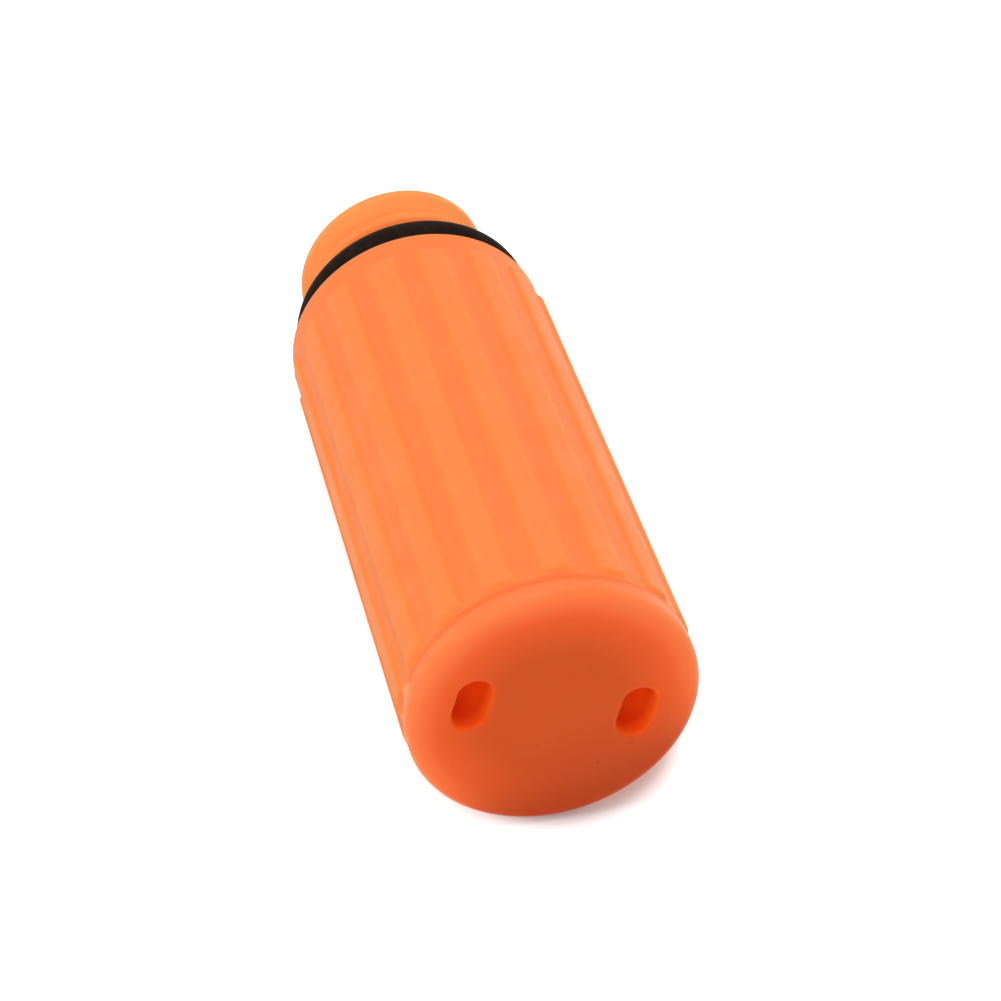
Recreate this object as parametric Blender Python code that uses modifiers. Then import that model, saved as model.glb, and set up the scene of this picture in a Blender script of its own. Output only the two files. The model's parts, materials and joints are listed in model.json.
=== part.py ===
"""Ribbed waterproof tube with a threaded neck, lying on its side, in metres.

Each piece is modelled upright: its axis is Z, the base face is at Z = 0 and the neck is at the top.
A rib is centred on +X. The holder then lays the tube down with its neck towards +Y.
"""

import math

import bmesh
import bpy

MM = 0.001

# Ribbed body: the radius over the ribs falls evenly from the base to the neck.
CREST_R = 15.38 * MM
DRAFT = 0.012
RIB_COUNT = 16
RIB_HEIGHT = 0.42 * MM
RIB_ANGLE = math.radians(12.0)
RIB_EDGE_ANGLE = math.radians(0.8)
RIB_EDGE_DROP = 0.18 * MM
RIB_START = 3.8 * MM
RIB_END = 59.6 * MM
RIB_ROOT = 0.5 * MM
SHOULDER_Z = 63.0 * MM
SHOULDER_ROUND = 0.5 * MM
WALL = 2.0 * MM
INNER_ROUND = 1.0 * MM

# Neck, the groove for its seal and its single right-hand thread.
GROOVE_R = 9.2 * MM
NECK_R = 9.7 * MM
NECK_END = 77.2 * MM
NECK_RIM_ROUND = 0.5 * MM
NECK_BORE_R = 7.7 * MM
NECK_BORE_CHAMFER = 0.3 * MM
THREAD_PITCH = 4.4 * MM
THREAD_RIDGE_R = 1.05 * MM
THREAD_START = 68.5 * MM
THREAD_RIM_GAP = 0.1 * MM
THREAD_LEVEL_ANGLE = math.radians(-60.0)
THREAD_LEVEL_RUN = math.radians(100.0)
THREAD_FADE = math.radians(50.0)
THREAD_FADE_SINK = 0.9 * MM
THREAD_FADE_SIZE = 0.4

# O-ring seal.
SEAL_SECTION_R = 2.0 * MM

# Base plug with two blind slots on the diameter through two valleys between the ribs.
FLANGE_TOP = 2.5 * MM
FLANGE_INSET = 0.2 * MM
FLANGE_ROUND = 1.2 * MM
FLANGE_TOP_ROUND = 0.3 * MM
SPIGOT_TOP = 7.0 * MM
SPIGOT_CHAMFER = 0.6 * MM
SLOT_LENGTH = 6.2 * MM
SLOT_WIDTH = 3.6 * MM
SLOT_DEPTH = 5.0 * MM
SLOT_R = 8.8 * MM

CLEARANCE = 0.3 * MM

# Fineness of the round shapes. Six steps to each rib keep the rib sides off the corners of the tube.
STEPS = 6 * RIB_COUNT
PLUG_STEPS = 72
ARC_STEPS = 4
THREAD_STEPS = 36
THREAD_SIDE_STEPS = 3
SLOT_STEPS = 10
SEAL_STEPS = 64
SEAL_SECTION_STEPS = 16
SHARP_ANGLE = math.radians(32.0)

TURN = 2.0 * math.pi
QUARTER = 0.5 * math.pi
RIB_PITCH = TURN / RIB_COUNT
FACET_ANGLE = 0.5 * (0.5 * RIB_ANGLE - RIB_EDGE_ANGLE)
TUBE_START = FLANGE_TOP + CLEARANCE


def crest_r(z):
    return CREST_R - DRAFT * z


def core_r(z):
    return crest_r(z) - RIB_HEIGHT


def bore_r(z):
    return core_r(z) - WALL


def flange_r():
    return crest_r(FLANGE_TOP) - FLANGE_INSET


def groove_top():
    return SHOULDER_Z + 2.0 * (SEAL_SECTION_R + CLEARANCE)


def arc(center, radius, start, end, steps):
    """Points of an arc, both ends included, with angles from +X towards +Z."""
    points = []
    for i in range(steps + 1):
        angle = start + (end - start) * i / steps
        points.append((center[0] + radius * math.cos(angle), center[1] + radius * math.sin(angle)))
    return points


def clear_scene():
    for obj in list(bpy.data.objects):
        bpy.data.objects.remove(obj, do_unlink=True)


def new_collection(name):
    collection = bpy.data.collections.new(name)
    bpy.context.scene.collection.children.link(collection)
    return collection


def plastic(name, color, roughness):
    material = bpy.data.materials.new(name)
    material.use_nodes = True
    shader = material.node_tree.nodes["Principled BSDF"]
    shader.inputs["Base Color"].default_value = (*color, 1.0)
    shader.inputs["Roughness"].default_value = roughness
    shader.inputs["Metallic"].default_value = 0.0
    return material


def turned(name, profile, collection, steps, ring=False):
    """A profile of (radius, height) points, top to bottom on its outer side, turned about Z."""
    points = [(r, 0.0, z) for r, z in profile]
    edges = [(i, i + 1) for i in range(len(points) - 1)]
    if ring:
        edges.append((len(points) - 1, 0))
    mesh = bpy.data.meshes.new(name)
    mesh.from_pydata(points, edges, [])
    obj = bpy.data.objects.new(name, mesh)
    collection.objects.link(obj)
    screw = obj.modifiers.new("Turn", "SCREW")
    screw.angle = TURN
    screw.steps = steps
    screw.render_steps = steps
    screw.use_merge_vertices = True
    screw.merge_threshold = 0.01 * MM
    return obj


def evaluated_mesh(obj):
    bpy.context.view_layer.update()
    graph = bpy.context.evaluated_depsgraph_get()
    return bpy.data.meshes.new_from_object(obj.evaluated_get(graph))


def curve_to_mesh(curve_obj, collection):
    """The curve's closed mesh, welded at its caps, in a new object that takes the curve's place."""
    name = curve_obj.name
    mesh = evaluated_mesh(curve_obj)
    body = bmesh.new()
    body.from_mesh(mesh)
    bmesh.ops.remove_doubles(body, verts=body.verts, dist=0.005 * MM)
    bmesh.ops.recalc_face_normals(body, faces=body.faces)
    body.to_mesh(mesh)
    body.free()
    place = curve_obj.matrix_world.copy()
    bpy.data.objects.remove(curve_obj, do_unlink=True)
    obj = bpy.data.objects.new(name, mesh)
    obj.matrix_world = place
    collection.objects.link(obj)
    return obj


def as_tool(obj):
    obj.hide_render = True
    obj.display_type = "WIRE"
    return obj


def combine(obj, tool, operation):
    boolean = obj.modifiers.new(tool.name, "BOOLEAN")
    boolean.object = tool
    boolean.operation = operation
    boolean.solver = "EXACT"


def settle(obj, material):
    """Makes the modifiers' result the object's own mesh, shaded smooth up to its edges."""
    mesh = evaluated_mesh(obj)
    obj.modifiers.clear()
    obj.data = mesh
    mesh.materials.clear()
    mesh.materials.append(material)
    mesh.shade_smooth()
    mesh.set_sharp_from_angle(angle=SHARP_ANGLE)
    return obj


def flat_outline(name, outlines, thickness, collection):
    """A plate between z = 0 and its thickness, from closed outlines of (x, y) points."""
    curve = bpy.data.curves.new(name, "CURVE")
    curve.dimensions = "2D"
    curve.fill_mode = "BOTH"
    curve.extrude = 0.5 * thickness
    for outline in outlines:
        spline = curve.splines.new("POLY")
        spline.points.add(len(outline) - 1)
        for point, (x, y) in zip(spline.points, outline):
            point.co = (x, y, 0.0, 1.0)
        spline.use_cyclic_u = True
    obj = bpy.data.objects.new(name, curve)
    obj.location = (0.0, 0.0, 0.5 * thickness)
    collection.objects.link(obj)
    return obj


def tube_profile():
    """The tube's wall with no ribs and no thread: neck rim, outer side, base end, bore."""
    rim_r = NECK_R - NECK_RIM_ROUND
    rim_z = NECK_END - NECK_RIM_ROUND
    shoulder_r = core_r(SHOULDER_Z) - SHOULDER_ROUND
    inner_top = SHOULDER_Z - WALL
    outer = [(NECK_BORE_R + NECK_BORE_CHAMFER, NECK_END)]
    outer += arc((rim_r, rim_z), NECK_RIM_ROUND, QUARTER, 0.0, ARC_STEPS)
    outer += [
        (NECK_R, groove_top() + NECK_R - GROOVE_R),
        (GROOVE_R, groove_top()),
        (GROOVE_R, SHOULDER_Z),
    ]
    outer += arc((shoulder_r, SHOULDER_Z - SHOULDER_ROUND), SHOULDER_ROUND, QUARTER, 0.0, ARC_STEPS)
    outer.append((core_r(TUBE_START), TUBE_START))
    inner = [
        (bore_r(TUBE_START), TUBE_START),
        (bore_r(inner_top), inner_top - INNER_ROUND),
        (bore_r(inner_top) - INNER_ROUND, inner_top),
        (NECK_BORE_R, inner_top),
        (NECK_BORE_R, NECK_END - NECK_BORE_CHAMFER),
    ]
    return outer + inner


def rib_sleeve(collection):
    """All the ribs on one sleeve that is buried in the wall of the tube."""
    top_r = crest_r(RIB_START)
    outline = []
    for rib in range(RIB_COUNT):
        middle = rib * RIB_PITCH
        half = 0.5 * RIB_ANGLE
        root = (core_r(RIB_START) - RIB_ROOT, half)
        edge = (top_r - RIB_EDGE_DROP, half)
        crest = (top_r, half - RIB_EDGE_ANGLE)
        rising = [(r, -angle) for r, angle in (root, edge, crest)]
        falling = [crest, edge, root]
        for r, angle in rising + [(top_r, 0.0)] + falling:
            outline.append((r * math.cos(middle + angle), r * math.sin(middle + angle)))
    buried = arc((0.0, 0.0), bore_r(RIB_START) + 0.5 * WALL, 0.0, TURN, STEPS)[:-1]
    plate = flat_outline("ribs", [outline, buried], RIB_END - RIB_START, collection)
    plate.location.z += RIB_START
    bpy.context.view_layer.update()
    sleeve = curve_to_mesh(plate, collection)
    narrowing = crest_r(RIB_END) / crest_r(RIB_START)
    for vertex in sleeve.data.vertices:
        if vertex.co.z > 0.0:
            vertex.co.x *= narrowing
            vertex.co.y *= narrowing
    return as_tool(sleeve)


def thread_ridge(collection):
    """A round ridge on a right-hand helix that runs level below the rim, its ends sunk into the neck."""
    level = NECK_END - THREAD_RIM_GAP - THREAD_RIDGE_R
    climb = TURN * (level - THREAD_START) / THREAD_PITCH
    sweep = climb + THREAD_LEVEL_RUN
    count = round(THREAD_STEPS * sweep / TURN)
    curve = bpy.data.curves.new("thread", "CURVE")
    curve.dimensions = "3D"
    curve.twist_mode = "Z_UP"
    curve.bevel_depth = THREAD_RIDGE_R
    curve.bevel_resolution = THREAD_SIDE_STEPS
    curve.use_fill_caps = True
    spline = curve.splines.new("POLY")
    spline.points.add(count)
    for i, point in enumerate(spline.points):
        swept = sweep * i / count
        to_end = min(swept, sweep - swept)
        full = math.sin(QUARTER * min(to_end / THREAD_FADE, 1.0))
        angle = THREAD_LEVEL_ANGLE + swept - climb
        r = NECK_R - THREAD_FADE_SINK * (1.0 - full)
        z = min(THREAD_START + THREAD_PITCH * swept / TURN, level)
        point.co = (r * math.cos(angle), r * math.sin(angle), z, 1.0)
        point.radius = THREAD_FADE_SIZE + (1.0 - THREAD_FADE_SIZE) * full
    obj = bpy.data.objects.new("thread", curve)
    collection.objects.link(obj)
    return as_tool(curve_to_mesh(obj, collection))


def make_tube(collection, tools, material):
    tube = turned("tube_body", tube_profile(), collection, STEPS, ring=True)
    combine(tube, rib_sleeve(tools), "UNION")
    combine(tube, thread_ridge(tools), "UNION")
    return settle(tube, material)


def slot_cutter(name, side_angle, collection):
    half_run = 0.5 * (SLOT_LENGTH - SLOT_WIDTH)
    end_r = 0.5 * SLOT_WIDTH
    outline = arc((0.0, half_run), end_r, 0.0, math.pi, SLOT_STEPS)
    outline += arc((0.0, -half_run), end_r, math.pi, TURN, SLOT_STEPS)
    cutter = flat_outline(name, [outline], 2.0 * SLOT_DEPTH, collection)
    cutter.location = (SLOT_R * math.cos(side_angle), SLOT_R * math.sin(side_angle), 0.0)
    cutter.rotation_euler = (0.0, 0.0, side_angle)
    bpy.context.view_layer.update()
    return as_tool(curve_to_mesh(cutter, collection))


def make_plug(collection, tools, material):
    spigot_top_r = bore_r(SPIGOT_TOP) - CLEARANCE
    spigot_foot_r = bore_r(FLANGE_TOP) - CLEARANCE
    profile = [
        (0.0, SPIGOT_TOP),
        (spigot_top_r - SPIGOT_CHAMFER, SPIGOT_TOP),
        (spigot_top_r, SPIGOT_TOP - SPIGOT_CHAMFER),
        (spigot_foot_r, FLANGE_TOP),
        (flange_r() - FLANGE_TOP_ROUND, FLANGE_TOP),
        (flange_r(), FLANGE_TOP - FLANGE_TOP_ROUND),
    ]
    profile += arc((flange_r() - FLANGE_ROUND, FLANGE_ROUND), FLANGE_ROUND, 0.0, -QUARTER, ARC_STEPS)
    profile.append((0.0, 0.0))
    plug = turned("base_plug", profile, collection, PLUG_STEPS)
    for name, turn in (("slot_a", 0.0), ("slot_b", math.pi)):
        combine(plug, slot_cutter(name, 0.5 * RIB_PITCH + turn, tools), "DIFFERENCE")
    return settle(plug, material)


def make_seal(collection, material):
    bpy.ops.mesh.primitive_torus_add(
        major_segments=SEAL_STEPS,
        minor_segments=SEAL_SECTION_STEPS,
        major_radius=GROOVE_R + CLEARANCE + SEAL_SECTION_R,
        minor_radius=SEAL_SECTION_R,
        location=(0.0, 0.0, SHOULDER_Z + CLEARANCE + SEAL_SECTION_R),
    )
    seal = bpy.context.object
    seal.name = "o_ring"
    for owner in list(seal.users_collection):
        owner.objects.unlink(seal)
    collection.objects.link(seal)
    seal.data.name = "o_ring"
    seal.data.materials.append(material)
    seal.data.shade_smooth()
    return seal


def lay_down(pieces, collection):
    """Turns the tube on its side, on one facet of its lowest rib, centred over the origin."""
    holder = bpy.data.objects.new("lying_tube", None)
    collection.objects.link(holder)
    slope = math.atan(DRAFT * math.cos(FACET_ANGLE))
    holder.rotation_mode = "ZYX"
    holder.rotation_euler = (-QUARTER - slope, 0.0, FACET_ANGLE)
    for piece in pieces:
        piece.parent = holder
    bpy.context.view_layer.update()
    corners = [piece.matrix_world @ v.co for piece in pieces for v in piece.data.vertices]
    low = [min(corner[i] for corner in corners) for i in range(3)]
    high = [max(corner[i] for corner in corners) for i in range(3)]
    holder.location = (-0.5 * (low[0] + high[0]), -0.5 * (low[1] + high[1]), -low[2])


def main():
    clear_scene()
    pieces = new_collection("screw_neck_tube")
    tools = new_collection("cutters")
    tools.hide_render = True
    orange = plastic("orange_plastic", (0.95, 0.24, 0.065), 0.42)
    base_orange = plastic("orange_base_plastic", (0.93, 0.22, 0.06), 0.45)
    rubber = plastic("black_rubber", (0.02, 0.018, 0.017), 0.5)
    tube = make_tube(pieces, tools, orange)
    plug = make_plug(pieces, tools, base_orange)
    seal = make_seal(pieces, rubber)
    lay_down((tube, plug, seal), pieces)


main()
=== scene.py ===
import json
import math

import bmesh
import bpy
from mathutils import Euler, Matrix, Vector


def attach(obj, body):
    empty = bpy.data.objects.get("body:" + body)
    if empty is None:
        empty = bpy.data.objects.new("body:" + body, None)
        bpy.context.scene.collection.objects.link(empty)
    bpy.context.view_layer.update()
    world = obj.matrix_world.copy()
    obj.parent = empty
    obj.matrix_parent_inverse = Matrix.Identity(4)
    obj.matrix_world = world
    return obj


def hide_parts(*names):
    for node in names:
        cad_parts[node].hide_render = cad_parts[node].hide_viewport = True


mm = 0.001
fullTurn = 2.0 * math.pi
quarterTurn = 0.5 * math.pi

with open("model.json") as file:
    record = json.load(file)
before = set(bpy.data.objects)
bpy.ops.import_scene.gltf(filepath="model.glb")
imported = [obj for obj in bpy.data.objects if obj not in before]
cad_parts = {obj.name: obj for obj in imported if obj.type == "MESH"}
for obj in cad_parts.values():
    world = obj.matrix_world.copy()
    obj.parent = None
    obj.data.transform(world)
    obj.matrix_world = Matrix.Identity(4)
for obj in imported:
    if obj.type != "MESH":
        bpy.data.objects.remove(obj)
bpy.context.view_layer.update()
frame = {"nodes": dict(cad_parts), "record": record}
print("frame loaded:", sorted(frame["nodes"]))

# how the tube lies: the middle of its base and its axis come from the base mount
lying = {
    "ribFacet": math.radians(2.6),  # the tube rests on one half of its lowest rib
}


def lyingMatrix():
    base = next(m for m in frame["record"]["mounts"] if m["name"] == "base_face")
    slope = math.asin(base["axis"][2])
    turn = Euler((-quarterTurn - slope, 0.0, lying["ribFacet"]), "ZYX").to_matrix().to_4x4()
    return Matrix.Translation(base["pos_m"]) @ turn


toFloor = lyingMatrix()


# plain helpers


def arc(cx, cz, radius, start, end, steps, squash=1.0):
    points = []
    for i in range(steps + 1):
        a = math.radians(start + (end - start) * i / steps)
        points.append((cx + radius * math.cos(a), cz + squash * radius * math.sin(a)))
    return points


def spread(start, end, steps):
    return [start + (end - start) * i / steps for i in range(steps + 1)]


def ringRows(work, rows, angles, closed):
    rings = []
    for r, z in rows:
        rings.append([work.verts.new((r * math.cos(a), r * math.sin(a), z)) for a in angles])
    pairs = list(zip(rings, rings[1:]))
    if closed:
        pairs.append((rings[-1], rings[0]))
    for low, high in pairs:
        for i in range(len(angles)):
            j = (i + 1) % len(angles)
            work.faces.new((low[i], low[j], high[j], high[i]))
    return rings


def meshFrom(name, work):
    bmesh.ops.recalc_face_normals(work, faces=work.faces)
    mesh = bpy.data.meshes.new(name)
    work.to_mesh(mesh)
    work.free()
    mesh.shade_smooth()
    return mesh


def newObject(name, mesh):
    obj = bpy.data.objects.new(name, mesh)
    bpy.context.scene.collection.objects.link(obj)
    return obj


def laidDown(name, mesh, material):
    mesh.transform(toFloor)
    mesh.materials.clear()
    mesh.materials.append(material)
    return newObject(name, mesh)


# materials


class Nodes:
    # a short way to add and link shader or geometry nodes
    def __init__(self, tree):
        self.tree = tree

    def add(self, kind, links=None, **settings):
        node = self.tree.nodes.new(kind)
        for key, value in settings.items():
            setattr(node, key, value)
        for key, value in (links or {}).items():
            self.feed(node.inputs[key], value)
        return node

    def feed(self, socket, value):
        if isinstance(value, bpy.types.NodeSocket):
            self.tree.links.new(value, socket)
        else:
            socket.default_value = value

    def math(self, operation, a, b=0.0, c=0.0):
        node = self.add("ShaderNodeMath", {0: a, 1: b, 2: c}, operation=operation)
        return node.outputs[0]

    def mapRange(self, value, low, high, toLow=0.0, toHigh=1.0, smooth=True):
        kind = "SMOOTHSTEP" if smooth else "LINEAR"
        links = {"Value": value, "From Min": low, "From Max": high, "To Min": toLow, "To Max": toHigh}
        return self.add("ShaderNodeMapRange", links, interpolation_type=kind).outputs[0]


def startMaterial(name):
    material = bpy.data.materials.new(name)
    material.use_nodes = True
    nodes = Nodes(material.node_tree)
    return material, nodes, material.node_tree.nodes["Principled BSDF"]


def tubeCoords(nodes):
    # object coordinates turned back to the tube's own axis, base at zero
    turn = toFloor.to_euler("XYZ")
    coords = nodes.add("ShaderNodeTexCoord")
    mapping = nodes.add(
        "ShaderNodeMapping",
        {"Vector": coords.outputs["Object"], "Location": toFloor.translation, "Rotation": turn},
        vector_type="TEXTURE",
    )
    return mapping.outputs["Vector"]


def mixColor(nodes, share, a, b):
    node = nodes.add("ShaderNodeMix", data_type="RGBA")
    for socket, value in ((0, share), (6, a), (7, b)):
        nodes.feed(node.inputs[socket], value)
    return node.outputs[2]


def noise(nodes, where, setup):
    perMm, detail, roughness = setup
    links = {"Vector": where, "Scale": perMm / mm, "Detail": detail, "Roughness": roughness}
    return nodes.add("ShaderNodeTexNoise", links).outputs["Fac"]


def length(nodes, vector):
    return nodes.add("ShaderNodeVectorMath", {0: vector}, operation="LENGTH").outputs["Value"]


orangePlastic = {
    "crest": (0.97, 0.240, 0.050, 1.0),
    # painted shade in the valleys between the ribs
    "valleyShade": (0.97, 0.216, 0.043, 1.0),
    "neckRidge": (1.0, 0.315, 0.074, 1.0),
    # painted shade in the roots of the thread
    "neckRootShade": (1.0, 0.235, 0.047, 1.0),
    "neckStart": (66.0 * mm, 68.0 * mm),
    # painted shade in the crevice where the plug meets the tube
    "seamShade": (0.97, 0.160, 0.024, 1.0),
    "seamHeight": 2.75 * mm,
    "seamReach": (0.20 * mm, 0.85 * mm),
    "seamShare": 0.9,
    "seamStart": (14.2 * mm, 14.6 * mm),
    # painted light and shade on the base: face in the middle, shade on its lower side, glow and rim where
    # painted light comes through the wall near the rim
    "face": (0.655, 0.083, 0.006, 1.0),
    "shade": (0.515, 0.056, 0.002, 1.0),
    "glow": (0.905, 0.122, 0.014, 1.0),
    "rim": (1.0, 0.226, 0.063, 1.0),
    "glowReach": (6.5 * mm, 14.0 * mm),
    "rimReach": (11.5 * mm, 15.5 * mm),
    "litAngle": math.radians(-112.0),  # the side of the base where painted light comes through the wall
    "litReach": (-12.5 * mm, -1.0 * mm),
    "shadeReach": (-14.0 * mm, -2.0 * mm),
    "edgeDepth": (0.2 * mm, 1.2 * mm),
    # painted light on the slot lips, and deep red painted shade inside the slots
    "slotLipLight": (0.96, 0.126, 0.006, 1.0),
    "slot": (0.84, 0.072, 0.001, 1.0),
    "lipDepth": (0.02 * mm, 0.40 * mm),
    "slotDepth": (0.4 * mm, 2.6 * mm),
    "slotReach": (12.3 * mm, 12.8 * mm),
    # painted highlight on the raised nib
    "nib": (1.0, 0.345, 0.140, 1.0),
    "nibHighlightShare": 0.9,
    "speck": (0.28, 0.040, 0.010, 1.0),
    "specks": (
        (-1.61 * mm, 4.65 * mm, 0.25),
        (4.98 * mm, 7.89 * mm, 0.55),
        (3.24 * mm, -4.86 * mm, 0.15),
        (8.33 * mm, 5.79 * mm, 0.30),
    ),
    "speckReach": (0.08 * mm, 0.30 * mm),
    "mottle": (0.16, 4.0, 0.55),  # clouds per mm, detail, roughness
    "mottleRange": (0.3, 0.7),
    "mottleShare": 0.06,
    "grain": (5.5, 2.0, 0.5),
    "tubeRoughness": (0.54, 0.64),
    "plugRoughness": (0.38, 0.46),
    "tubeSpecular": 0.30,
    "flankDull": 0.5,  # how dull the sides of the ribs are, next to the slots
    "dullRoughness": 0.5,  # what a dull place adds to the roughness
    "plugSpecular": 0.14,
    "subsurface": 0.9,
    "subsurfaceReach": (1.0, 0.32, 0.12),
    "tubeScale": 1.0 * mm,
    "plugScale": 1.3 * mm,
    "grainHeight": 0.006 * mm,
    "swirlHeight": 0.010 * mm,
}


def paintedSeamShade(nodes, height):
    # painted shade: a fine deeper line in the crevice where the plug meets the tube
    p = orangePlastic
    off = nodes.math("ABSOLUTE", nodes.math("SUBTRACT", height, p["seamHeight"]))
    return nodes.mapRange(off, *p["seamReach"], p["seamShare"], 0.0)


def tubeColor(nodes, where):
    p = orangePlastic
    share = nodes.add("ShaderNodeAttribute", attribute_name="raised").outputs["Fac"]
    height = nodes.add("ShaderNodeSeparateXYZ", {0: where}).outputs["Z"]
    # painted shade in the valleys between the ribs, against the lighter crests
    body = mixColor(nodes, share, p["valleyShade"], p["crest"])
    # painted shade at the seam
    body = mixColor(nodes, paintedSeamShade(nodes, height), body, p["seamShade"])
    # painted shade in the thread's roots, and more of it on the lower turn
    neck = mixColor(nodes, share, p["neckRootShade"], p["neckRidge"])
    flank = nodes.math("MULTIPLY", share, nodes.math("SUBTRACT", 1.0, share))
    dull = nodes.math("MULTIPLY", flank, 4.0 * p["flankDull"])  # 4 makes it full half way up a flank
    return mixColor(nodes, nodes.mapRange(height, *p["neckStart"]), body, neck), dull


def plugColor(nodes, where):
    # painted light and shade on the base: darker in the middle of the face with painted shade towards its
    # lower side, painted light through the wall towards the rim and on the flange's outside, deep red
    # painted shade in the slots
    p = orangePlastic
    x, y, depth = nodes.add("ShaderNodeSeparateXYZ", {0: where}).outputs
    across = nodes.add("ShaderNodeCombineXYZ", {0: x, 1: y}).outputs[0]
    reach = length(nodes, across)
    towards = (math.cos(p["litAngle"]), math.sin(p["litAngle"]), 0.0)
    toLight = nodes.add("ShaderNodeVectorMath", {0: where, 1: towards}, operation="DOT_PRODUCT")
    side = toLight.outputs["Value"]
    lit = nodes.mapRange(side, *p["litReach"])
    # painted shade on the lower side of the face
    color = mixColor(nodes, nodes.mapRange(side, *p["shadeReach"]), p["shade"], p["face"])
    # painted light coming through the wall, on the lit side towards the rim
    glow = nodes.math("MULTIPLY", nodes.mapRange(reach, *p["glowReach"]), lit)
    color = mixColor(nodes, glow, color, p["glow"])
    # painted rim light on the flange's outside and on the lit side of the face near the rim
    edge = nodes.math("MAXIMUM", lit, nodes.mapRange(depth, *p["edgeDepth"]))
    rim = nodes.math("MULTIPLY", nodes.mapRange(reach, *p["rimReach"]), edge)
    color = mixColor(nodes, rim, color, p["rim"])
    for speckX, speckY, strength in p["specks"]:
        links = {0: across, 1: (speckX, speckY, 0.0)}
        off = nodes.add("ShaderNodeVectorMath", links, operation="DISTANCE").outputs["Value"]
        color = mixColor(nodes, nodes.mapRange(off, *p["speckReach"], strength, 0.0), color, p["speck"])
    # painted shade at the seam, on the flange's outside
    onRim = nodes.mapRange(reach, *p["seamStart"])
    color = mixColor(nodes, nodes.math("MULTIPLY", paintedSeamShade(nodes, depth), onRim), color, p["seamShade"])
    # painted highlight on the raised nib
    raised = nodes.add("ShaderNodeAttribute", attribute_name="raised").outputs["Fac"]
    color = mixColor(nodes, nodes.math("MULTIPLY", raised, p["nibHighlightShare"]), color, p["nib"])
    # painted light on the slot lips, deep red painted shade further in
    inside = nodes.mapRange(reach, *p["slotReach"], 1.0, 0.0)
    lip = nodes.math("MULTIPLY", nodes.mapRange(depth, *p["lipDepth"]), inside)
    inSlot = nodes.math("MULTIPLY", nodes.mapRange(depth, *p["slotDepth"]), inside)
    color = mixColor(nodes, inSlot, mixColor(nodes, lip, color, p["slotLipLight"]), p["slot"])
    return color, lip


def plasticMaterial(name, isBase):
    p = orangePlastic
    material, nodes, shader = startMaterial(name)
    where = tubeCoords(nodes)
    mottle = noise(nodes, where, p["mottle"])
    grain = noise(nodes, where, p["grain"])
    color, dull = plugColor(nodes, where) if isBase else tubeColor(nodes, where)
    cloudy = nodes.mapRange(mottle, *p["mottleRange"], 0.0, p["mottleShare"])
    color = mixColor(nodes, cloudy, color, p["face"])
    roughness = p["plugRoughness"] if isBase else p["tubeRoughness"]
    rough = nodes.mapRange(mottle, *p["mottleRange"], *roughness)
    rough = nodes.math("MULTIPLY_ADD", dull, p["dullRoughness"], rough)
    fine = nodes.add("ShaderNodeBump", {"Height": grain, "Distance": p["grainHeight"]}).outputs[0]
    swirl = {"Height": mottle, "Distance": p["swirlHeight"], "Normal": fine}
    bump = nodes.add("ShaderNodeBump", swirl).outputs[0]
    nodes.feed(shader.inputs["Base Color"], color)
    nodes.feed(shader.inputs["Roughness"], rough)
    nodes.feed(shader.inputs["Normal"], bump)
    specular = p["plugSpecular"] if isBase else p["tubeSpecular"]
    shader.inputs["Specular IOR Level"].default_value = specular
    shader.inputs["Subsurface Weight"].default_value = p["subsurface"]
    shader.inputs["Subsurface Radius"].default_value = p["subsurfaceReach"]
    shader.inputs["Subsurface Scale"].default_value = p["plugScale"] if isBase else p["tubeScale"]
    return material


blackRubber = {
    "dark": (0.015, 0.0090, 0.0065, 1.0),
    "dusty": (0.024, 0.0150, 0.0115, 1.0),
    "dust": (0.7, 5.0, 0.6),  # clouds per mm, detail, roughness
    "dustRange": (0.42, 0.72),
    "grain": (7.0, 2.0, 0.5),
    "roughness": (0.52, 0.68),
    "roughRange": (0.3, 0.7),
    "specular": 0.02,
    "grainHeight": 0.012 * mm,
}


def rubberMaterial(name):
    p = blackRubber
    material, nodes, shader = startMaterial(name)
    where = tubeCoords(nodes)
    dust = noise(nodes, where, p["dust"])
    grain = noise(nodes, where, p["grain"])
    share = nodes.mapRange(dust, *p["dustRange"])
    nodes.feed(shader.inputs["Base Color"], mixColor(nodes, share, p["dark"], p["dusty"]))
    rough = nodes.mapRange(dust, *p["roughRange"], *p["roughness"])
    nodes.feed(shader.inputs["Roughness"], rough)
    bump = nodes.add("ShaderNodeBump", {"Height": grain, "Distance": p["grainHeight"]})
    nodes.feed(shader.inputs["Normal"], bump.outputs[0])
    shader.inputs["Specular IOR Level"].default_value = p["specular"]
    return material


tubePlastic = plasticMaterial("orangePlastic", False)
# the base plug's material carries painted light and shade on its face, rim and slots
plugPlastic = plasticMaterial("orangeBasePlastic", True)
rubber = rubberMaterial("blackRubber")
print("materials ready")

# tube: one drafted wall from the base end to the threaded neck, with its bore

tube = {
    "crestRadius": 15.38 * mm,  # over the ribs, at the base face
    "draft": 0.012,
    "start": 2.69 * mm,
    "startRound": 0.22 * mm,
    "shoulder": 63.0 * mm,
    "shoulderRound": 0.5 * mm,
    "wall": 2.0 * mm,
    "grooveRadius": 9.05 * mm,
    "grooveTop": 67.7 * mm,
    "grooveRound": 0.3 * mm,
    "rootRadius": 9.9 * mm,
    "neckEnd": 77.2 * mm,
    "rimRound": 0.55 * mm,
    "boreRadius": 7.7 * mm,
    "boreRound": 0.3 * mm,
    "innerRound": 1.0 * mm,  # inside, below the shoulder
    "mouthRound": 0.6 * mm,  # where the bore opens into the inside
    "endChamfer": 0.4 * mm,
    "neckSkin": 0.8 * mm,  # further out than this from the bore is the neck's outside
    "bodySkin": 0.05 * mm,
    "levelSlack": 0.02 * mm,
}

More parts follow.
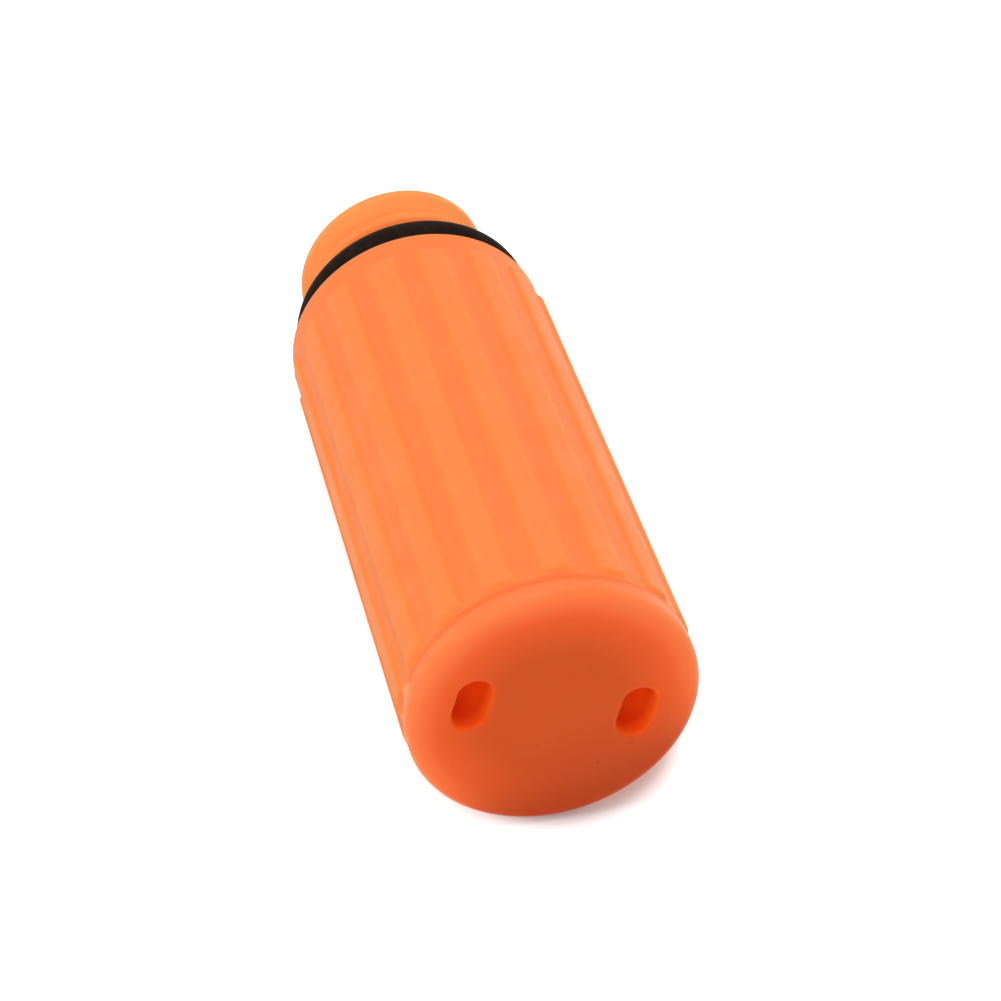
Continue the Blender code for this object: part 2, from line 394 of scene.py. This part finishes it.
# where the tube's mesh has its rows and columns
tubeGrid = {
    "ribColumns": (1.5, 3.0, 3.9, 4.4, 4.8, 5.2, 5.6, 6.0, 6.4, 6.8, 7.2, 7.6, 8.1, 9.1, 10.2),  # degrees
    "collarRows": (61.6 * mm, 60.6 * mm),
    "ribRows": [z * mm for z in (58.6, 56.0, 50.0, 44.0, 38.0, 32.0, 26.0, 20.0, 14.0, 9.0, 6.0, 4.6)],
    "insideRows": (8.0 * mm, 25.0 * mm, 45.0 * mm),
    "boreRows": (65.0 * mm, 70.0 * mm, 74.0 * mm),
    "rowGap": 0.1 * mm,
    "shoulderRow": 1.0 * mm,
    "ribEndShare": 0.6,  # how far the close rows reach past a rib's rounded end
    "rimSteps": 8,
    "neckSteps": 64,
    "grooveSteps": 4,
    "shoulderSteps": 7,
    "ribEndSteps": 9,
    "ribStartSteps": 12,
    "footSteps": 4,
    "innerSteps": 6,
    "mouthSteps": 5,
}

ribs = {
    "count": 16,
    "height": 0.42 * mm,
    "halfAngle": math.radians(6.0),
    "edgeAngle": math.radians(4.4),
    "toneAngle": math.radians(2.8),
    "start": 3.8 * mm,
    "end": 59.6 * mm,
    "startRound": 1.0 * mm,
    "endRound": 0.5 * mm,
}

thread = {
    "pitch": 4.4 * mm,
    "height": 0.85 * mm,
    "halfBase": 1.8 * mm,
    "halfCrest": 0.25 * mm,
    "level": 76.05 * mm,  # where the ridge stops climbing and runs on below the rim
    "levelTurns": 0.28,
    "topAngle": math.radians(40.0),
    "turns": 1.99,
    "fadeTurns": 0.14,
    "toneStart": 1.3 * mm,
    "toneEnd": 2.25 * mm,
    "toneFadeTurns": 0.16,
    # the lower turn keeps this share of the ridge tone, the rest is painted shade behind the O-ring
    "lowerTone": 0.35,
}


def coreRadius(z):
    return tube["crestRadius"] - ribs["height"] - tube["draft"] * z


def columnAngles():
    # columns crowd round the two sides of each rib, so that the steps stay crisp
    pitch = 360.0 / ribs["count"]
    right = list(tubeGrid["ribColumns"])
    steps = [-a for a in reversed(right)] + [0.0] + right + [0.5 * pitch]
    return [math.radians(rib * pitch + a) for rib in range(ribs["count"]) for a in steps]


def neckRows():
    t, g = tube, tubeGrid
    root, inside, groove = t["rootRadius"], t["grooveRadius"], t["grooveRound"]
    rows = arc(root - t["rimRound"], t["neckEnd"] - t["rimRound"], t["rimRound"], 90.0, 0.0, g["rimSteps"])
    start = t["neckEnd"] - t["rimRound"] - g["rowGap"]
    end = t["grooveTop"] + groove + g["rowGap"]
    rows += [(root, z) for z in spread(start, end, g["neckSteps"])]
    steps = g["grooveSteps"]
    rows += arc(root - groove, t["grooveTop"] + groove, groove, 0.0, -90.0, steps)
    rows += arc(inside + groove, t["grooveTop"] - groove, groove, 90.0, 180.0, steps)
    rows += arc(inside + groove, t["shoulder"] + groove, groove, 180.0, 270.0, steps)
    return rows


def bodyRows():
    t, g = tube, tubeGrid
    edge, foot = t["shoulderRound"], t["startRound"]
    shoulder = coreRadius(t["shoulder"] - edge) - edge
    rows = [(shoulder - g["shoulderRow"], t["shoulder"])]
    rows += arc(shoulder, t["shoulder"] - edge, edge, 90.0, 0.0, g["shoulderSteps"])
    endReach = g["ribEndShare"] * ribs["endRound"]
    startReach = g["ribEndShare"] * ribs["startRound"]
    heights = list(g["collarRows"])
    heights += spread(ribs["end"] + endReach, ribs["end"] - endReach, g["ribEndSteps"])
    heights += g["ribRows"]
    heights += spread(ribs["start"] + startReach, ribs["start"] - startReach, g["ribStartSteps"])
    rows += [(coreRadius(z), z) for z in heights]
    rows += arc(coreRadius(t["start"]) - foot, t["start"] + foot, foot, 0.0, -90.0, g["footSteps"])
    return rows


def insideRows():
    t, g = tube, tubeGrid
    bore, rim, mouth, corner = t["boreRadius"], t["boreRound"], t["mouthRound"], t["innerRound"]
    top = t["shoulder"] - t["wall"]
    wall = coreRadius(top) - t["wall"]
    heights = [t["start"] + t["endChamfer"], *g["insideRows"]]
    rows = [(coreRadius(t["start"]) - t["wall"] + t["endChamfer"], t["start"])]
    rows += [(coreRadius(z) - t["wall"], z) for z in heights]
    rows += arc(wall - corner, top - corner, corner, 0.0, 90.0, g["innerSteps"])
    rows += arc(bore + mouth, top + mouth, mouth, 270.0, 180.0, g["mouthSteps"])
    rows += [(bore, z) for z in g["boreRows"]]
    rows += arc(bore + rim, t["neckEnd"] - rim, rim, 180.0, 90.0, g["mouthSteps"])
    return rows


def ribAndThreadTree(material):
    # moves the outside of the turned wall outwards: straight ribs along it, one ridge round the neck
    tree = bpy.data.node_groups.new("ribsAndThread", "GeometryNodeTree")
    tree.is_modifier = True
    sockets = tree.interface
    sockets.new_socket("Geometry", in_out="INPUT", socket_type="NodeSocketGeometry")
    ids = {}
    for group, values in (("rib", ribs), ("thread", thread)):
        for key, value in values.items():
            name = group + key[0].upper() + key[1:]
            socket = sockets.new_socket(name, in_out="INPUT", socket_type="NodeSocketFloat")
            ids[socket.identifier] = float(value)
    sockets.new_socket("Geometry", in_out="OUTPUT", socket_type="NodeSocketGeometry")
    nodes = Nodes(tree)
    source = nodes.add("NodeGroupInput").outputs
    spot = nodes.add("GeometryNodeInputPosition").outputs[0]
    x, y, z = nodes.add("ShaderNodeSeparateXYZ", {0: spot}).outputs
    angle = nodes.math("ARCTAN2", y, x)

    pitch = nodes.math("DIVIDE", fullTurn, source["ribCount"])
    share = nodes.math("DIVIDE", angle, pitch)
    offCenter = nodes.math("SUBTRACT", share, nodes.math("ROUND", share))
    away = nodes.math("MULTIPLY", nodes.math("ABSOLUTE", offCenter), pitch)
    across = []
    for width in ("ribEdgeAngle", "ribToneAngle"):
        halfEdge = nodes.math("MULTIPLY", source[width], 0.5)
        low = nodes.math("SUBTRACT", source["ribHalfAngle"], halfEdge)
        high = nodes.math("ADD", source["ribHalfAngle"], halfEdge)
        across.append(nodes.mapRange(away, low, high, 1.0, 0.0))
    within = []
    for end, rise in (("ribStart", (0.0, 1.0)), ("ribEnd", (1.0, 0.0))):
        halfRound = nodes.math("MULTIPLY", source[end + "Round"], 0.5)
        low = nodes.math("SUBTRACT", source[end], halfRound)
        high = nodes.math("ADD", source[end], halfRound)
        within.append(nodes.mapRange(z, low, high, *rise))
    along = nodes.math("MULTIPLY", *within)
    ribHeight = nodes.math("MULTIPLY", nodes.math("MULTIPLY", across[0], along), source["ribHeight"])
    # the rib tone picks the crest colour against the painted shade of the valleys
    ribTone = nodes.math("MULTIPLY", across[1], along)

    # the ridge passes each angle once on its first turn down from the top end and once on its second
    around = nodes.math("DIVIDE", nodes.math("SUBTRACT", source["threadTopAngle"], angle), fullTurn)
    firstPass = nodes.math("FRACT", around)
    fadeStart = nodes.math("SUBTRACT", source["threadTurns"], source["threadFadeTurns"])
    toneFade = source["threadToneFadeTurns"]
    # the lower turn's ridge tone is weaker: painted shade behind the O-ring
    firstTone = nodes.mapRange(firstPass, 0.0, toneFade)
    lowerTone = nodes.mapRange(firstPass, 0.0, toneFade, 1.0, source["threadLowerTone"])
    ridge = ridgeTone = 0.0
    for turn, tone in ((0.0, firstTone), (1.0, lowerTone)):
        run = nodes.math("ADD", firstPass, turn)
        climbed = nodes.math("MAXIMUM", nodes.math("SUBTRACT", run, source["threadLevelTurns"]), 0.0)
        fall = nodes.math("MULTIPLY", climbed, source["threadPitch"])
        aboveLevel = nodes.math("SUBTRACT", z, source["threadLevel"])
        distance = nodes.math("ABSOLUTE", nodes.math("ADD", aboveLevel, fall))
        swell = nodes.mapRange(distance, source["threadHalfCrest"], source["threadHalfBase"], 1.0, 0.0)
        fadeIn = nodes.mapRange(run, 0.0, source["threadFadeTurns"])
        fadeOut = nodes.mapRange(run, fadeStart, source["threadTurns"], 1.0, 0.0)
        ends = nodes.math("MULTIPLY", fadeIn, fadeOut)
        ridge = nodes.math("MAXIMUM", nodes.math("MULTIPLY", swell, ends), ridge)
        flank = nodes.mapRange(distance, source["threadToneStart"], source["threadToneEnd"], 1.0, 0.0)
        ridgeTone = nodes.math("MAXIMUM", nodes.math("MULTIPLY", flank, tone), ridgeTone)
    ridgeHeight = nodes.math("MULTIPLY", ridge, source["threadHeight"])

    # only the outside of the neck and of the body is moved
    onNeck, onBody = [
        nodes.add("GeometryNodeInputNamedAttribute", {"Name": name}, data_type="FLOAT").outputs[0]
        for name in ("onNeck", "onBody")
    ]
    onTheBody = nodes.math("MULTIPLY", ribHeight, onBody)
    height = nodes.math("MULTIPLY_ADD", ridgeHeight, onNeck, onTheBody)
    level = nodes.add("ShaderNodeCombineXYZ", {0: x, 1: y}).outputs[0]
    outwards = nodes.add("ShaderNodeVectorMath", {0: level}, operation="NORMALIZE").outputs[0]
    offset = nodes.add("ShaderNodeVectorMath", {0: outwards, 3: height}, operation="SCALE").outputs[0]
    moved = nodes.add("GeometryNodeSetPosition", {"Geometry": source["Geometry"], "Offset": offset})
    tone = nodes.math("MULTIPLY_ADD", ridgeTone, onNeck, nodes.math("MULTIPLY", ribTone, onBody))
    marked = nodes.add(
        "GeometryNodeStoreNamedAttribute",
        {"Geometry": moved.outputs[0], "Name": "raised", "Value": tone},
        data_type="FLOAT",
        domain="POINT",
    )
    whole = nodes.add("GeometryNodeRealizeInstances", {0: marked.outputs[0]})
    painted = nodes.add("GeometryNodeSetMaterial", {"Geometry": whole.outputs[0], "Material": material})
    nodes.add("NodeGroupOutput", {0: painted.outputs[0]})
    return tree, ids


def makeTube():
    work = bmesh.new()
    onNeck = work.verts.layers.float.new("onNeck")
    onBody = work.verts.layers.float.new("onBody")
    ringRows(work, neckRows() + bodyRows() + insideRows(), columnAngles(), True)
    t = tube
    for v in work.verts:
        reach, z = math.hypot(v.co.x, v.co.y), v.co.z
        v[onNeck] = reach > t["boreRadius"] + t["neckSkin"] and z > t["grooveTop"] + t["levelSlack"]
        v[onBody] = reach > coreRadius(z) - t["bodySkin"] and z < t["shoulder"]
    rough = newObject("tubeRough", meshFrom("tubeRough", work))
    tree, values = ribAndThreadTree(tubePlastic)
    modifier = rough.modifiers.new("ribsAndThread", "NODES")
    modifier.node_group = tree
    for key, value in values.items():
        modifier[key] = value
    bpy.context.view_layer.update()
    graph = bpy.context.evaluated_depsgraph_get()
    mesh = bpy.data.meshes.new_from_object(rough.evaluated_get(graph))
    bpy.data.objects.remove(rough, do_unlink=True)
    for name in ("onNeck", "onBody"):
        if name in mesh.attributes:
            mesh.attributes.remove(mesh.attributes[name])
    mesh.shade_smooth()
    return laidDown("tubeShell", mesh, tubePlastic)


tubeShell = makeTube()
print("tube made:", len(tubeShell.data.polygons), "faces")

# base plug: flange, spigot and two blind slots

plug = {
    "flangeRadius": 15.15 * mm,
    "flangeTop": 2.67 * mm,
    "rimRound": 1.2 * mm,
    "topRound": 0.22 * mm,
    "spigotTop": 7.0 * mm,
    "spigotGap": 0.1 * mm,
    "spigotRound": 0.5 * mm,
    "spigotEndRow": 2.0 * mm,
    "spigotFootRow": 0.4 * mm,
    "seatRow": 0.3 * mm,
    "slotLength": 6.2 * mm,
    "slotWidth": 3.6 * mm,
    "slotDepth": 3.6 * mm,
    "slotRadius": 8.8 * mm,
    "slotRound": 0.5 * mm,
    "slotFloorRound": 1.4 * mm,
    "slotLipRow": 0.12 * mm,
    "slotDraft": ((0.04 * mm, 1.4 * mm), 0.08 * mm),  # inwards at this depth, and at the floor's round
    "nibAngle": math.radians(-168.75),  # a small raised mark in line with one slot
    "nibMiddle": 2.0 * mm,
    "nibHalfLength": 1.5 * mm,
    "nibHalfWidth": 1.2 * mm,
    "nibHeight": 0.36 * mm,
    "columns": 512,
    "slotPoints": 72,
    "slotLipSteps": 8,
    "slotFloorSteps": 6,
    "spigotSteps": 5,
    "topSteps": 5,
    "sideSteps": 8,
    "rimSteps": 14,
    "rowGap": 0.1 * mm,
    "faceRow": 0.12 * mm,
}


def slotLoop(work, reach, depth, side):
    # an obround round the slot's centre, its long side square to the radius
    p = plug
    half = 0.5 * (p["slotLength"] - p["slotWidth"])
    middle = Vector((p["slotRadius"] * math.cos(side), p["slotRadius"] * math.sin(side)))
    outwards = Vector((math.cos(side), math.sin(side)))
    sideways = Vector((-math.sin(side), math.cos(side)))
    loop = []
    count = p["slotPoints"] // 2
    for end in (1.0, -1.0):
        for i in range(count):
            a = math.pi * i / (count - 1)
            swing = math.cos(a) * outwards + math.sin(a) * sideways
            spot = middle + end * (half * sideways + reach * swing)
            loop.append(work.verts.new((spot.x, spot.y, depth)))
    return loop


def bridge(work, a, b):
    for i in range(len(a)):
        j = (i + 1) % len(a)
        work.faces.new((a[i], a[j], b[j], b[i]))


def loopEdges(work, loop):
    return [work.edges.get((loop[i], loop[(i + 1) % len(loop)])) for i in range(len(loop))]


def slotCup(work, side):
    p = plug
    half = 0.5 * p["slotWidth"]
    edge, foot = p["slotRound"], p["slotFloorRound"]
    (upperIn, upperDepth), lowerIn = p["slotDraft"]
    lowest = p["slotDepth"] - foot
    steps = [(half + edge + p["slotLipRow"], 0.0)]
    for a in spread(0.0, quarterTurn, p["slotLipSteps"]):
        steps.append((half + edge - edge * math.sin(a), edge - edge * math.cos(a)))
    steps += [(half - upperIn, upperDepth), (half - lowerIn, lowest)]
    for a in spread(0.0, quarterTurn, p["slotFloorSteps"])[1:]:
        steps.append((half - lowerIn - foot + foot * math.cos(a), lowest + foot * math.sin(a)))
    loops = [slotLoop(work, reach, depth, side) for reach, depth in steps]
    for a, b in zip(loops, loops[1:]):
        bridge(work, a, b)
    work.faces.new(loops[-1])
    return loops[0]


def raiseNib(work, raised):
    # swells the flange outwards over a small oval, and marks how far each point was raised
    p = plug
    outwards = Vector((math.cos(p["nibAngle"]), math.sin(p["nibAngle"]), 0.0))
    sideways = Vector((-outwards.y, outwards.x, 0.0))
    for v in work.verts:
        if v.co.dot(outwards) > p["flangeRadius"] - p["rimRound"]:
            across = v.co.dot(sideways) / p["nibHalfWidth"]
            along = (v.co.z - p["nibMiddle"]) / p["nibHalfLength"]
            share = max(0.0, 1.0 - across * across - along * along)
            v[raised] = share
            v.co += p["nibHeight"] * share * outwards


def makePlug():
    p = plug
    work = bmesh.new()
    raised = work.verts.layers.float.new("raised")
    angles = [fullTurn * i / p["columns"] for i in range(p["columns"])]
    bore = coreRadius(p["spigotTop"]) - tube["wall"] - p["spigotGap"]
    outer, seat = p["flangeRadius"], p["flangeTop"]
    corner, top, edge, gap = p["spigotRound"], p["topRound"], p["rimRound"], p["rowGap"]
    rows = [(bore - p["spigotEndRow"], p["spigotTop"])]
    rows += arc(bore - corner, p["spigotTop"] - corner, corner, 90.0, 0.0, p["spigotSteps"])
    rows += [(bore, seat + p["spigotFootRow"]), (bore, seat), (bore + p["seatRow"], seat)]
    rows += arc(outer - top, seat - top, top, 90.0, 0.0, p["topSteps"])
    rows += [(outer, z) for z in spread(seat - top - gap, edge + gap, p["sideSteps"])]
    rows += arc(outer - edge, edge, edge, 0.0, -90.0, p["rimSteps"])
    rows += [(outer - edge - p["faceRow"], 0.0)]
    rings = ringRows(work, rows, angles, False)
    raiseNib(work, raised)
    work.faces.new(rings[0])
    slotSide = math.pi / ribs["count"]  # half a rib's pitch from the nearest rib
    loops = [rings[-1]] + [slotCup(work, slotSide + turn) for turn in (0.0, math.pi)]
    edges = [e for loop in loops for e in loopEdges(work, loop)]
    # the base face is filled between the rim and the two slots
    down = (0.0, 0.0, -1.0)
    bmesh.ops.triangle_fill(work, use_beauty=True, use_dissolve=False, edges=edges, normal=down)
    return laidDown("basePlug", meshFrom("basePlug", work), plugPlastic)


basePlug = makePlug()
print("base plug made:", len(basePlug.data.polygons), "faces")

# O-ring in the groove at the foot of the neck

seal = {
    "radius": 11.4 * mm,
    "height": 65.6 * mm,
    "sectionRadius": 2.0 * mm,
    "lean": 0.3 * mm,  # the ring sits a little to one side of its groove
    "leanAngle": math.radians(-19.0),
    "columns": 240,
    "sectionPoints": 48,
}


def makeSeal():
    s = seal
    work = bmesh.new()
    rows = arc(s["radius"], s["height"], s["sectionRadius"], 0.0, -360.0, s["sectionPoints"])[:-1]
    ringRows(work, rows, [fullTurn * i / s["columns"] for i in range(s["columns"])], True)
    lean = s["lean"] * Vector((math.cos(s["leanAngle"]), math.sin(s["leanAngle"]), 0.0))
    bmesh.ops.translate(work, verts=work.verts, vec=lean)
    return laidDown("oRing", meshFrom("oRing", work), rubber)


oRing = makeSeal()
print("O-ring made")

for piece, node, slotName in (
    (tubeShell, "tube_body", "orange_plastic"),
    (basePlug, "base_plug", "orange_base_plastic"),
    (oRing, "o_ring", "black_rubber"),
):
    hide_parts(node)
    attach(piece, "root")

# floor, light and camera

stageSet = {
    "floorSize": 3.0,
    "floorColor": (0.80, 0.80, 0.80, 1.0),
    "seenColor": (0.78, 0.78, 0.78, 1.0),
    "floorRoughness": 0.9,
    "footLine": (2.7 * mm, -24.3 * mm, 24.0 * mm),  # where it lies under the tube, and its two ends
    "footStretch": 1.10,
    "lift": (0.0, 0.67),
    "liftReach": (13.6 * mm, 17.3 * mm),
    "skyColor": (1.0, 1.0, 1.0, 1.0),
    "worldStrength": 0.58,
    "lampAim": (0.0, 0.0, 0.015),
}


def seenDirectly(nodes):
    # 1 for the rays that show the backdrop itself, in the picture or in a reflection
    path = nodes.add("ShaderNodeLightPath").outputs
    seen = nodes.math("MAXIMUM", path["Is Camera Ray"], path["Is Glossy Ray"])
    return nodes.math("MAXIMUM", seen, path["Is Transmission Ray"])


def makeFloor():
    s = stageSet["floorSize"]
    mesh = bpy.data.meshes.new("floor")
    mesh.from_pydata([(-s, -s, 0.0), (s, -s, 0.0), (s, s, 0.0), (-s, s, 0.0)], [], [(0, 1, 2, 3)])
    floor = newObject("floor", mesh)
    material, nodes, shader = startMaterial("paleFloor")
    seen = seenDirectly(nodes)
    color = mixColor(nodes, seen, stageSet["floorColor"], stageSet["seenColor"])
    nodes.feed(shader.inputs["Base Color"], color)
    shader.inputs["Roughness"].default_value = stageSet["floorRoughness"]
    shader.inputs["Specular IOR Level"].default_value = 0.0
    # the floor is lifted to white away from the line the tube lies on, so its shadow stays close to it
    spot = nodes.add("ShaderNodeTexCoord").outputs["Object"]
    x, y, _ = nodes.add("ShaderNodeSeparateXYZ", {0: spot}).outputs
    line, start, end = stageSet["footLine"]
    sideways = nodes.math("MULTIPLY", nodes.math("SUBTRACT", x, line), stageSet["footStretch"])
    past = nodes.math("SUBTRACT", y, nodes.math("MAXIMUM", nodes.math("MINIMUM", y, end), start))
    offLine = nodes.add("ShaderNodeCombineXYZ", {0: sideways, 1: past}).outputs[0]
    lift = nodes.mapRange(length(nodes, offLine), *stageSet["liftReach"], *stageSet["lift"])
    glow = nodes.add("ShaderNodeEmission", {"Strength": nodes.math("MULTIPLY", seen, lift)})
    both = nodes.add("ShaderNodeAddShader", {0: shader.outputs[0], 1: glow.outputs[0]})
    nodes.feed(material.node_tree.nodes["Material Output"].inputs["Surface"], both.outputs[0])
    mesh.materials.append(material)


# one lamp overhead, low panels that reach the sides but hardly touch the floor, one before the base
lamps = {
    "above": {"spot": (-0.06, 0.05, 0.75), "size": 0.4, "watts": 1.9},
    "left": {"spot": (-0.70, 0.15, 0.16), "size": 0.6, "watts": 0.75},
    "right": {"spot": (0.70, 0.15, 0.16), "size": 0.6, "watts": 1.6},
    "front": {"spot": (-0.34, -0.68, 0.37), "size": 0.5, "watts": 2.2},
}


def makeLights():
    world = bpy.data.worlds.new("studio")
    world.use_nodes = True
    nodes = Nodes(world.node_tree)
    sky = world.node_tree.nodes["Background"]
    sky.inputs["Color"].default_value = stageSet["skyColor"]
    strength = nodes.math("MAXIMUM", seenDirectly(nodes), stageSet["worldStrength"])
    nodes.feed(sky.inputs["Strength"], strength)
    bpy.context.scene.world = world
    for name, lamp in lamps.items():
        light = bpy.data.lights.new(name, "AREA")
        light.shape = "SQUARE"
        light.size = lamp["size"]
        light.energy = lamp["watts"]
        obj = bpy.data.objects.new(name, light)
        obj.location = lamp["spot"]
        aim = Vector(stageSet["lampAim"]) - Vector(lamp["spot"])
        obj.rotation_euler = aim.to_track_quat("-Z", "Y").to_euler()
        bpy.context.scene.collection.objects.link(obj)


cameraSetup = {
    "spot": (-0.078705, -0.315866, 0.286115),
    "turn": (49.7836, -1.1889, -13.6325),  # degrees
    "lens": 142.24,
    "sensor": 36.0,
    "clipStart": 0.01,
}


def makeCamera():
    data = bpy.data.cameras.new("photoCamera")
    data.sensor_width = cameraSetup["sensor"]
    data.lens = cameraSetup["lens"]
    data.clip_start = cameraSetup["clipStart"]
    camera = bpy.data.objects.new("photoCamera", data)
    camera.location = cameraSetup["spot"]
    camera.rotation_euler = [math.radians(a) for a in cameraSetup["turn"]]
    bpy.context.scene.collection.objects.link(camera)
    bpy.context.scene.camera = camera


makeFloor()
makeLights()
makeCamera()
bpy.context.scene.view_settings.view_transform = "Standard"
print("stage ready")
